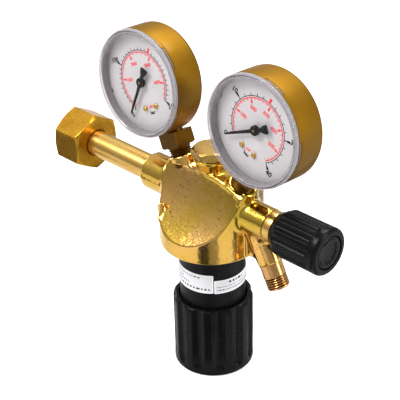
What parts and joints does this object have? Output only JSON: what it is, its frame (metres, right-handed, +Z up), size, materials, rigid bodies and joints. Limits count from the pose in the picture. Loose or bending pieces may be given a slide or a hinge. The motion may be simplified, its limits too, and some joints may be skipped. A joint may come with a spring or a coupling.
{
  "type": "gas regulator",
  "caption": "Single-stage brass gas regulator with union nut inlet, two dial gauges, black adjusting knob below, and an outlet valve with a slanted threaded spigot.",
  "frame": {"origin": "centre of the inlet washer's sealing face, where the cylinder valve seats", "axes": "+X along the inlet nipple towards the outlet valve, +Z up along the adjusting spindle, dials face -Y"},
  "size_m": [0.2045, 0.0604, 0.2043],
  "materials": {
    "forged_brass": "polished forging, slightly pebbled",
    "turned_brass": "satin, turned",
    "nut_brass": "milled flats, slightly rough",
    "gauge_brass": "satin, dull",
    "gold_lacquer": "satin gold lacquer",
    "steel": "satin",
    "black_plastic": "satin moulded",
    "clear_plastic": "clear moulded plastic",
    "dial_white": "matt",
    "label": "satin printed film",
    "rubber": "matt",
    "nylon": "matt",
    "pointer_black": "matt black"
  },
  "bodies": {
    "body": {"body": "forged_brass", "inlet_tube": "turned_brass", "inlet_seal": "nylon", "inlet_filter": "turned_brass", "valve_cap": "turned_brass", "cap_seal": "turned_brass", "valve_seat": "turned_brass", "poppet_spring": "steel", "diaphragm": "rubber", "bonnet": "black_plastic", "label_left": "label", "label_right": "label", "main_spring": "steel", "thrust_washer": "nylon", "outlet_bonnet": "turned_brass", "outlet_o_ring": "rubber", "left_gauge_case": "gold_lacquer", "left_gauge_lens": "clear_plastic", "left_gauge_dial": "dial_white", "left_gauge_frame": "turned_brass", "left_gauge_socket": "gauge_brass", "left_gauge_tube": "turned_brass", "left_gauge_dial_screw_1": "turned_brass", "left_gauge_dial_screw_2": "turned_brass", "right_gauge_case": "gold_lacquer", "right_gauge_lens": "clear_plastic", "right_gauge_dial": "dial_white", "right_gauge_frame": "turned_brass", "right_gauge_socket": "gauge_brass", "right_gauge_tube": "turned_brass", "right_gauge_dial_screw_1": "turned_brass", "right_gauge_dial_screw_2": "turned_brass"},
    "union_nut": {"union_nut": "nut_brass"},
    "adjusting_knob": {"adjusting_knob": "black_plastic", "knob_cover": "black_plastic", "knob_screw": "steel", "adjusting_spindle": "steel"},
    "spring_plate": {"spring_plate": "steel"},
    "poppet": {"valve_poppet": "turned_brass", "diaphragm_plate": "steel"},
    "outlet_knob": {"outlet_knob": "black_plastic", "outlet_knob_cap": "black_plastic", "outlet_knob_screw": "steel", "outlet_spindle": "steel"},
    "outlet_plunger": {"outlet_plunger": "turned_brass"},
    "left_pointer": {"left_gauge_pointer": "pointer_black", "left_gauge_pinion": "turned_brass"},
    "left_sector": {"left_gauge_sector": "turned_brass"},
    "left_link": {"left_gauge_link": "steel"},
    "right_pointer": {"right_gauge_pointer": "pointer_black", "right_gauge_pinion": "turned_brass"},
    "right_sector": {"right_gauge_sector": "turned_brass"},
    "right_link": {"right_gauge_link": "steel"}
  },
  "joints": [
    {"name": "nut_spin", "type": "hinge", "parent": "body", "child": "union_nut", "pos_m": [0, 0, 0], "axis": [1, 0, 0], "continuous": true},
    {"name": "knob_turn", "type": "hinge", "parent": "body", "child": "adjusting_knob", "pos_m": [0.106, 0, -0.09], "axis": [0, 0, 1], "range_deg": [0, 1800]},
    {"name": "plate_travel", "type": "slide", "parent": "body", "child": "spring_plate", "axis": [0, 0, 1], "range_m": [0, 0.0075], "deforming": ["main_spring"]},
    {"name": "poppet_lift", "type": "slide", "parent": "body", "child": "poppet", "axis": [0, 0, 1], "range_m": [0, 0.0008], "stiffness_N_per_m": 1500, "deforming": ["poppet_spring", "diaphragm"]},
    {"name": "outlet_turn", "type": "hinge", "parent": "body", "child": "outlet_knob", "pos_m": [0.175, 0, 0], "axis": [1, 0, 0], "range_deg": [0, 720]},
    {"name": "plunger_travel", "type": "slide", "parent": "body", "child": "outlet_plunger", "axis": [1, 0, 0], "range_m": [0, 0.002]},
    {"name": "left_sector_turn", "type": "hinge", "parent": "body", "child": "left_sector", "pos_m": [0.06666, -0.00428, 0.05411], "axis": [0, -0.9971, 0.0767], "range_deg": [0, 33.75]},
    {"name": "left_pointer_turn", "type": "hinge", "parent": "body", "child": "left_pointer", "pos_m": [0.0631, -0.00672, 0.06149], "axis": [0, 0.9971, -0.0767], "range_deg": [0, 270]},
    {"name": "left_link_turn", "type": "hinge", "parent": "left_sector", "child": "left_link", "pos_m": [0.07293, -0.00285, 0.05712], "axis": [0, 0.9971, -0.0767], "range_deg": [0, 33.75]},
    {"name": "right_sector_turn", "type": "hinge", "parent": "body", "child": "right_sector", "pos_m": [0.14585, -0.0043, 0.05388], "axis": [0, -0.9971, 0.0767], "range_deg": [0, 33.75]},
    {"name": "right_pointer_turn", "type": "hinge", "parent": "body", "child": "right_pointer", "pos_m": [0.1489, -0.00672, 0.06149], "axis": [0, 0.9971, -0.0767], "range_deg": [0, 270]},
    {"name": "right_link_turn", "type": "hinge", "parent": "right_sector", "child": "right_link", "pos_m": [0.15232, -0.00331, 0.05113], "axis": [0, 0.9971, -0.0767], "range_deg": [0, 33.75]}
  ],
  "couplings": [
    {"joint": "plate_travel", "follows": "knob_turn", "m_per_rad": 0.00023873},
    {"joint": "plunger_travel", "follows": "outlet_turn", "m_per_rad": 0.00015915},
    {"joint": "left_pointer_turn", "follows": "left_sector_turn", "ratio": 8},
    {"joint": "left_link_turn", "follows": "left_sector_turn", "ratio": 1},
    {"joint": "right_pointer_turn", "follows": "right_sector_turn", "ratio": 8},
    {"joint": "right_link_turn", "follows": "right_sector_turn", "ratio": 1}
  ]
}
